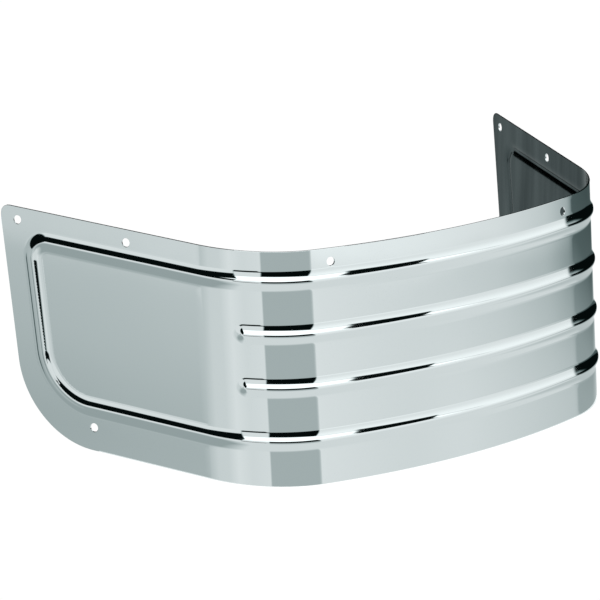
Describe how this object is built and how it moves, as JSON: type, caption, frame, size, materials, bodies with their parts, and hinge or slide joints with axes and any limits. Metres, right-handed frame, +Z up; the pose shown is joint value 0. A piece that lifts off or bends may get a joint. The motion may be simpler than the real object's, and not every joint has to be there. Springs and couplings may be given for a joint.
{
  "type": "fender skirt",
  "caption": "Bright plated sheet bowed round the front of a wheel guard, with rounded corners, flared wings, a framing bead, short ribs and screw holes along its edges.",
  "frame": {"origin": "middle of the footprint's box, on the surface that the bottom edge stands on", "axes": "+Z up, -Y out of the bowed front, the wings run back to +Y, and X runs from wing to wing"},
  "size_m": [0.326, 0.1614, 0.11],
  "materials": {
    "bright_plating": "bright chrome plating on pressed steel sheet, duller on the inner side"
  },
  "bodies": {
    "root": {"fender_skirt": "bright_plating"}
  },
  "joints": []
}
